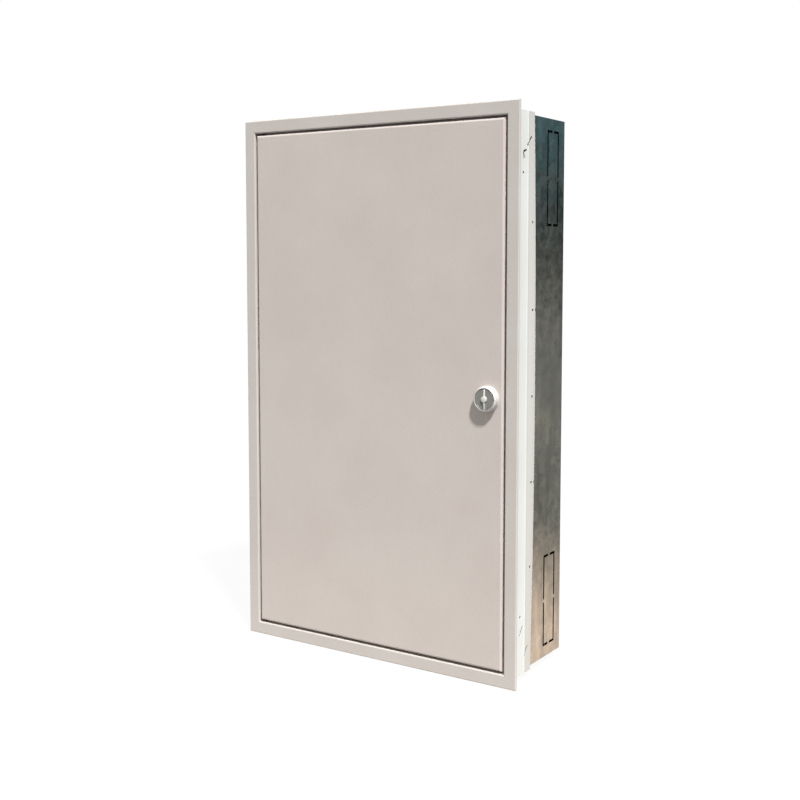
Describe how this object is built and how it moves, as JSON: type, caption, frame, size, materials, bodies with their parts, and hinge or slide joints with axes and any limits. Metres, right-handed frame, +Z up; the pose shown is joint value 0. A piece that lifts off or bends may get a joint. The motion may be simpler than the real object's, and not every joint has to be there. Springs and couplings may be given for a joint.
{
  "type": "flush wall enclosure",
  "caption": "Flush-mounted steel wall enclosure: galvanised trough, painted trim frame with collar, flush hinged door with a quarter-turn lock, and top-hat rails inside.",
  "frame": {"origin": "centre of the trough's back face, in the middle of its four wall fixing holes", "axes": "+X to the right of someone facing the door, +Y into the wall, +Z up"},
  "size_m": [0.594, 0.2182, 1],
  "materials": {
    "galvanised_sheet": "hot-dip galvanised, spangled, semi-matt",
    "zinc_plated": "bright zinc plated",
    "frame_paint": "fine-textured powder coat, semi-matt",
    "collar_paint": "thin white powder coat",
    "door_paint": "fine-textured powder coat, semi-matt",
    "buffer_rubber": "matt",
    "bush_plastic": "matt",
    "lock_housing": "satin",
    "lock_disc": "satin dark grey",
    "lock_grip": "satin light grey"
  },
  "bodies": {
    "trough": {"wall_trough": "galvanised_sheet", "adjuster_brackets": "galvanised_sheet", "adjuster_nuts": "zinc_plated", "left_upright": "galvanised_sheet", "right_upright": "galvanised_sheet", "upright_supports": "galvanised_sheet", "support_screws": "zinc_plated", "support_nuts": "zinc_plated", "rail_screws": "zinc_plated", "rail_nuts": "zinc_plated", "earth_stud": "zinc_plated", "earth_washer": "zinc_plated", "earth_nut": "zinc_plated", "din_rail_1": "zinc_plated", "din_rail_2": "zinc_plated", "din_rail_3": "zinc_plated", "din_rail_4": "zinc_plated", "din_rail_5": "zinc_plated", "din_rail_6": "zinc_plated"},
    "front_frame": {"trim_frame": "frame_paint", "collar_left": "collar_paint", "collar_right": "collar_paint", "collar_bottom": "collar_paint", "collar_top": "collar_paint", "door_buffers": "buffer_rubber", "strike_plate": "zinc_plated", "strike_rivets": "zinc_plated", "hinge_plates": "zinc_plated", "hinge_bushes": "bush_plastic", "adjusting_screws": "zinc_plated"},
    "door": {"door_panel": "door_paint", "door_stiffeners": "door_paint", "hinge_brackets": "zinc_plated", "hinge_pins": "zinc_plated", "lock_housing": "lock_housing", "lock_nut": "zinc_plated"},
    "lock_turn_set": {"lock_disc": "lock_disc", "lock_grip": "lock_grip", "lock_cam": "zinc_plated", "cam_washer": "zinc_plated", "cam_screw": "zinc_plated"}
  },
  "joints": [
    {"name": "frame_depth", "type": "slide", "parent": "trough", "child": "front_frame", "axis": [0, -1, 0], "range_m": [-0.01, 0.015]},
    {"name": "door_hinge", "type": "hinge", "parent": "front_frame", "child": "door", "pos_m": [-0.26425, -0.1988, 0], "axis": [0, 0, -1], "range_deg": [0, 105]},
    {"name": "lock_turn", "type": "hinge", "parent": "door", "child": "lock_turn_set", "pos_m": [0.23885, -0.205, 0], "axis": [0, 1, 0], "range_deg": [0, 90]}
  ]
}
